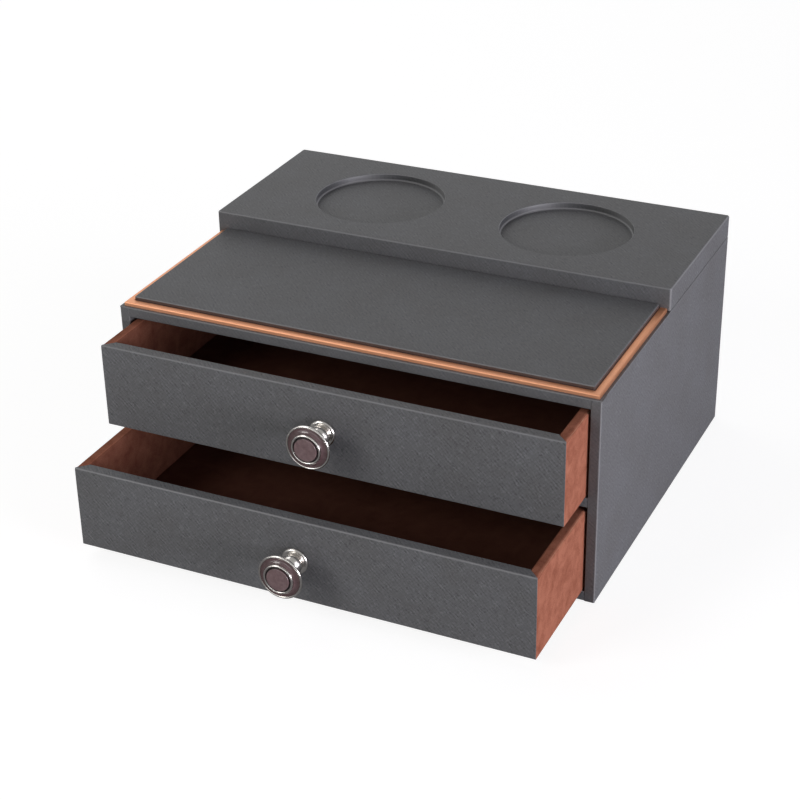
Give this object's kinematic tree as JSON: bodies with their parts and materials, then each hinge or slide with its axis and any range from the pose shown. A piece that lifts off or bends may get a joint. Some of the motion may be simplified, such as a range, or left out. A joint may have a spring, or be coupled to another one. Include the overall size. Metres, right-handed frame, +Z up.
{
  "type": "desk chest with drawers",
  "caption": "Leatherette-covered desk chest with stacked sliding drawers, a metal-edged top panel and a raised rear block with round recesses.",
  "frame": {"origin": "on the supporting surface, under the middle of the carcass", "axes": "+Z up, -Y out of the drawers' fronts, +X to the right seen from the front"},
  "size_m": [0.34, 0.3727, 0.164],
  "materials": {
    "leatherette": "satin, fine cross-hatched grain",
    "suede": "soft brown nap",
    "bay_lining": "thin brown nap",
    "base_felt": "dense felt",
    "board": "raw fibreboard",
    "copper_trim": "brushed copper colour",
    "knob_metal": "polished nickel",
    "knob_inlay": "glossy brown",
    "steel": "zinc plated"
  },
  "bodies": {
    "chest": {"back_board": "board", "base_felt": "base_felt", "block_base_board": "board", "block_screws": "steel", "block_top_board": "board", "block_wrap": "leatherette", "bottom_board": "board", "bottom_edge_wrap": "leatherette", "carcass_brads": "steel", "carcass_wrap": "leatherette", "front_trim": "copper_trim", "left_recess_floor": "leatherette", "left_recess_wall": "leatherette", "left_side_board": "board", "left_trim": "copper_trim", "lower_bay_lining": "bay_lining", "middle_shelf": "board", "right_recess_floor": "leatherette", "right_recess_wall": "leatherette", "right_side_board": "board", "right_trim": "copper_trim", "shelf_edge_wrap": "leatherette", "top_board": "board", "top_panel_board": "board", "top_panel_wrap": "leatherette", "top_wrap": "leatherette", "upper_bay_lining": "bay_lining"},
    "upper_drawer": {"upper_drawer_back_board": "board", "upper_drawer_back_suede": "suede", "upper_drawer_brads": "steel", "upper_drawer_floor_board": "board", "upper_drawer_floor_pad": "suede", "upper_drawer_front_board": "board", "upper_drawer_front_suede": "suede", "upper_drawer_front_wrap": "leatherette", "upper_drawer_knob": "knob_metal", "upper_drawer_knob_disc_inlay": "knob_inlay", "upper_drawer_knob_ring_inlay": "knob_inlay", "upper_drawer_knob_screw": "steel", "upper_drawer_left_side_board": "board", "upper_drawer_left_suede": "suede", "upper_drawer_right_side_board": "board", "upper_drawer_right_suede": "suede"},
    "lower_drawer": {"lower_drawer_back_board": "board", "lower_drawer_back_suede": "suede", "lower_drawer_brads": "steel", "lower_drawer_floor_board": "board", "lower_drawer_floor_pad": "suede", "lower_drawer_front_board": "board", "lower_drawer_front_suede": "suede", "lower_drawer_front_wrap": "leatherette", "lower_drawer_knob": "knob_metal", "lower_drawer_knob_disc_inlay": "knob_inlay", "lower_drawer_knob_ring_inlay": "knob_inlay", "lower_drawer_knob_screw": "steel", "lower_drawer_left_side_board": "board", "lower_drawer_left_suede": "suede", "lower_drawer_right_side_board": "board", "lower_drawer_right_suede": "suede"}
  },
  "joints": [
    {"name": "upper_drawer_slide", "type": "slide", "parent": "chest", "child": "upper_drawer", "axis": [0, -1, 0], "range_m": [-0.0385, 0.1515]},
    {"name": "lower_drawer_slide", "type": "slide", "parent": "chest", "child": "lower_drawer", "axis": [0, -1, 0], "range_m": [-0.0815, 0.1085]}
  ]
}
